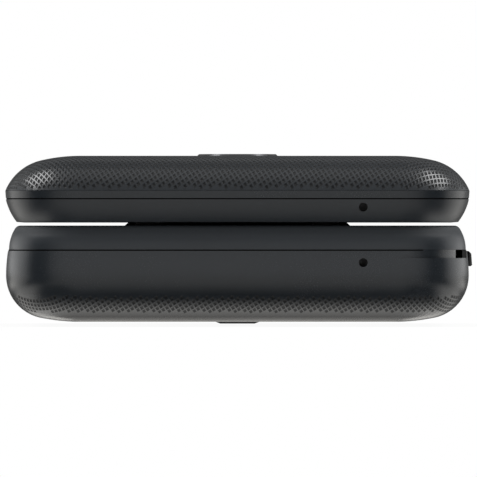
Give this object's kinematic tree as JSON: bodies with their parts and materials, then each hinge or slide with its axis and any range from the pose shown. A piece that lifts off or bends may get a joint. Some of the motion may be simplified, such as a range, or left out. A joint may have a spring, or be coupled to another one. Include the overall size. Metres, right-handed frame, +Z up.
{
  "type": "flip phone",
  "caption": "Closed clamshell flip phone with a sprung hinge, knurled charcoal covers, two displays, a keypad and a snap-off back.",
  "frame": {"origin": "centre of the flat back that the closed phone rests on", "axes": "+Z up through the closed phone, from the back to the lid; +Y from the free end to the hinge end; +X to the side with the volume rocker"},
  "size_m": [0.0534, 0.105, 0.0198],
  "materials": {
    "knurled_plastic": "satin, cut in a fine diamond pattern",
    "frame_plastic": "satin",
    "housing_plastic": "satin",
    "chassis_plastic": "matt",
    "window": "gloss",
    "display_glass": "dark, switched off",
    "camera_trim": "satin",
    "steel": "fine brushed",
    "circuit_board": "solder mask",
    "flex_film": "film",
    "rubber": "matt",
    "battery_can": "wrapped",
    "contact_metal": "gilt",
    "rocker_plastic": "satin",
    "key_plastic": "satin"
  },
  "bodies": {
    "base": {"front_housing": "housing_plastic", "rear_frame": "chassis_plastic", "main_circuit_board": "circuit_board", "dome_sheet": "flex_film", "keypad_mat": "rubber", "battery": "battery_can", "battery_contacts": "contact_metal", "sim_socket": "chassis_plastic", "loudspeaker": "chassis_plastic", "vibration_motor": "steel", "base_microphone": "steel", "charging_port": "steel", "headset_jack": "chassis_plastic", "hinge_can": "steel", "hinge_follower": "steel", "hinge_spring": "steel", "main_flex": "flex_film", "base_screws": "steel"},
    "lid": {"lid_cover": "knurled_plastic", "lid_frame": "frame_plastic", "outer_display_window": "window", "outer_display_panel": "display_glass", "camera_ring": "camera_trim", "camera_lens": "window", "camera_module": "chassis_plastic", "main_display_window": "window", "main_display_panel": "display_glass", "earpiece_receiver": "chassis_plastic", "earpiece_mesh": "steel", "lid_circuit_board": "circuit_board", "lid_microphone": "steel", "lid_bumpers": "rubber", "lid_screws": "steel", "hinge_shaft": "steel", "hinge_pin": "steel", "lid_flex": "flex_film"},
    "back_cover": {"back_cover": "knurled_plastic", "speaker_grille": "chassis_plastic"},
    "volume_rocker": {"volume_rocker": "rocker_plastic"},
    "nav_ring": {"nav_ring": "key_plastic"},
    "ok_key": {"ok_key": "key_plastic"},
    "key_1": {"key_1": "key_plastic"},
    "key_2": {"key_2": "key_plastic"},
    "key_3": {"key_3": "key_plastic"},
    "key_4": {"key_4": "key_plastic"},
    "key_5": {"key_5": "key_plastic"},
    "key_6": {"key_6": "key_plastic"},
    "key_7": {"key_7": "key_plastic"},
    "key_8": {"key_8": "key_plastic"},
    "key_9": {"key_9": "key_plastic"},
    "key_star": {"key_star": "key_plastic"},
    "key_0": {"key_0": "key_plastic"},
    "key_hash": {"key_hash": "key_plastic"},
    "soft_key_left": {"soft_key_left": "key_plastic"},
    "soft_key_right": {"soft_key_right": "key_plastic"},
    "send_key": {"send_key": "key_plastic"},
    "end_key": {"end_key": "key_plastic"},
    "clear_key": {"clear_key": "key_plastic"}
  },
  "joints": [
    {"name": "lid_hinge", "type": "hinge", "parent": "base", "child": "lid", "pos_m": [0, 0.049, 0.0148], "axis": [-1, 0, 0], "range_deg": [0, 160]},
    {"name": "back_cover_release", "type": "slide", "parent": "base", "child": "back_cover", "axis": [0, 0, -1], "range_m": [0, 0.012]},
    {"name": "volume_rock", "type": "hinge", "parent": "base", "child": "volume_rocker", "pos_m": [0.02435, 0.009, 0.007], "axis": [0, 0, 1], "range_deg": [-1.2, 1.2], "stiffness_Nm_per_rad": 0.4},
    {"name": "nav_ring_rock", "type": "hinge", "parent": "base", "child": "nav_ring", "pos_m": [0, 0.017, 0.00929], "axis": [1, 0, 0], "range_deg": [-0.9, 0.9], "stiffness_Nm_per_rad": 0.8},
    {"name": "ok_key_press", "type": "slide", "parent": "base", "child": "ok_key", "axis": [0, 0, -1], "range_m": [0, 0.00025], "stiffness_N_per_m": 3000},
    {"name": "key_1_press", "type": "slide", "parent": "base", "child": "key_1", "axis": [0, 0, -1], "range_m": [0, 0.00025], "stiffness_N_per_m": 3000},
    {"name": "key_2_press", "type": "slide", "parent": "base", "child": "key_2", "axis": [0, 0, -1], "range_m": [0, 0.00025], "stiffness_N_per_m": 3000},
    {"name": "key_3_press", "type": "slide", "parent": "base", "child": "key_3", "axis": [0, 0, -1], "range_m": [0, 0.00025], "stiffness_N_per_m": 3000},
    {"name": "key_4_press", "type": "slide", "parent": "base", "child": "key_4", "axis": [0, 0, -1], "range_m": [0, 0.00025], "stiffness_N_per_m": 3000},
    {"name": "key_5_press", "type": "slide", "parent": "base", "child": "key_5", "axis": [0, 0, -1], "range_m": [0, 0.00025], "stiffness_N_per_m": 3000},
    {"name": "key_6_press", "type": "slide", "parent": "base", "child": "key_6", "axis": [0, 0, -1], "range_m": [0, 0.00025], "stiffness_N_per_m": 3000},
    {"name": "key_7_press", "type": "slide", "parent": "base", "child": "key_7", "axis": [0, 0, -1], "range_m": [0, 0.00025], "stiffness_N_per_m": 3000},
    {"name": "key_8_press", "type": "slide", "parent": "base", "child": "key_8", "axis": [0, 0, -1], "range_m": [0, 0.00025], "stiffness_N_per_m": 3000},
    {"name": "key_9_press", "type": "slide", "parent": "base", "child": "key_9", "axis": [0, 0, -1], "range_m": [0, 0.00025], "stiffness_N_per_m": 3000},
    {"name": "key_star_press", "type": "slide", "parent": "base", "child": "key_star", "axis": [0, 0, -1], "range_m": [0, 0.00025], "stiffness_N_per_m": 3000},
    {"name": "key_0_press", "type": "slide", "parent": "base", "child": "key_0", "axis": [0, 0, -1], "range_m": [0, 0.00025], "stiffness_N_per_m": 3000},
    {"name": "key_hash_press", "type": "slide", "parent": "base", "child": "key_hash", "axis": [0, 0, -1], "range_m": [0, 0.00025], "stiffness_N_per_m": 3000},
    {"name": "soft_key_left_press", "type": "slide", "parent": "base", "child": "soft_key_left", "axis": [0, 0, -1], "range_m": [0, 0.00025], "stiffness_N_per_m": 3000},
    {"name": "soft_key_right_press", "type": "slide", "parent": "base", "child": "soft_key_right", "axis": [0, 0, -1], "range_m": [0, 0.00025], "stiffness_N_per_m": 3000},
    {"name": "send_key_press", "type": "slide", "parent": "base", "child": "send_key", "axis": [0, 0, -1], "range_m": [0, 0.00025], "stiffness_N_per_m": 3000},
    {"name": "end_key_press", "type": "slide", "parent": "base", "child": "end_key", "axis": [0, 0, -1], "range_m": [0, 0.00025], "stiffness_N_per_m": 3000},
    {"name": "clear_key_press", "type": "slide", "parent": "base", "child": "clear_key", "axis": [0, 0, -1], "range_m": [0, 0.00025], "stiffness_N_per_m": 3000}
  ]
}
